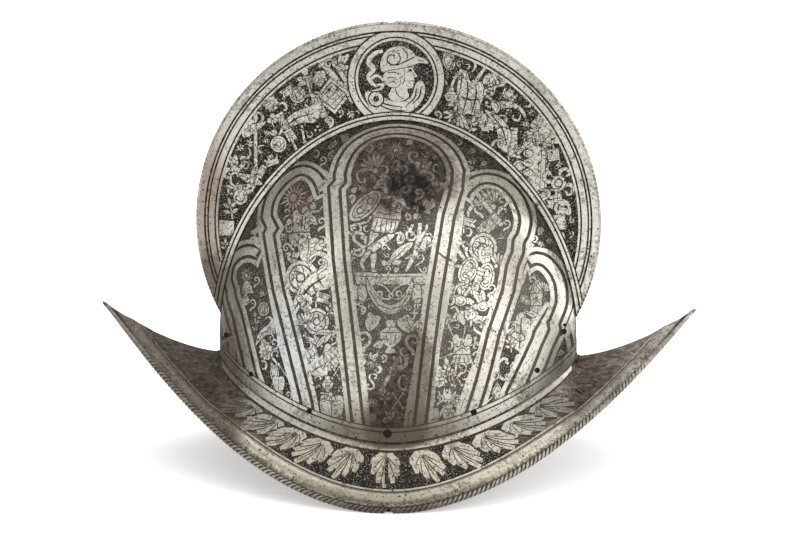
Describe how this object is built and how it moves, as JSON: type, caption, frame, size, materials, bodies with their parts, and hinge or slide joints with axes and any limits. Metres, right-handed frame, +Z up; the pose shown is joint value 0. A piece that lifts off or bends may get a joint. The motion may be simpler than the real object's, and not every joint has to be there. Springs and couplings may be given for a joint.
{
  "type": "comb morion helmet",
  "caption": "Steel comb morion: hollow skull, tall half-round comb, boat-shaped brim rising to a peak at each end, roped edges and empty lining rivet holes.",
  "frame": {"origin": "on the surface the helmet rests on, under the middle of its length and width", "axes": "+X to the front along the comb, +Y to the wearer's left side, +Z up"},
  "size_m": [0.351, 0.2359, 0.2615],
  "materials": {
    "etched_ground": "acid-etched stippled ground, blackened",
    "bright_steel": "worn satin steel with a light brown patina",
    "roped_steel": "filed roping, dark in its grooves",
    "inside_steel": "unpolished brown-black hammered inside"
  },
  "bodies": {
    "root": {"helmet_shell": "etched_ground"}
  },
  "joints": []
}
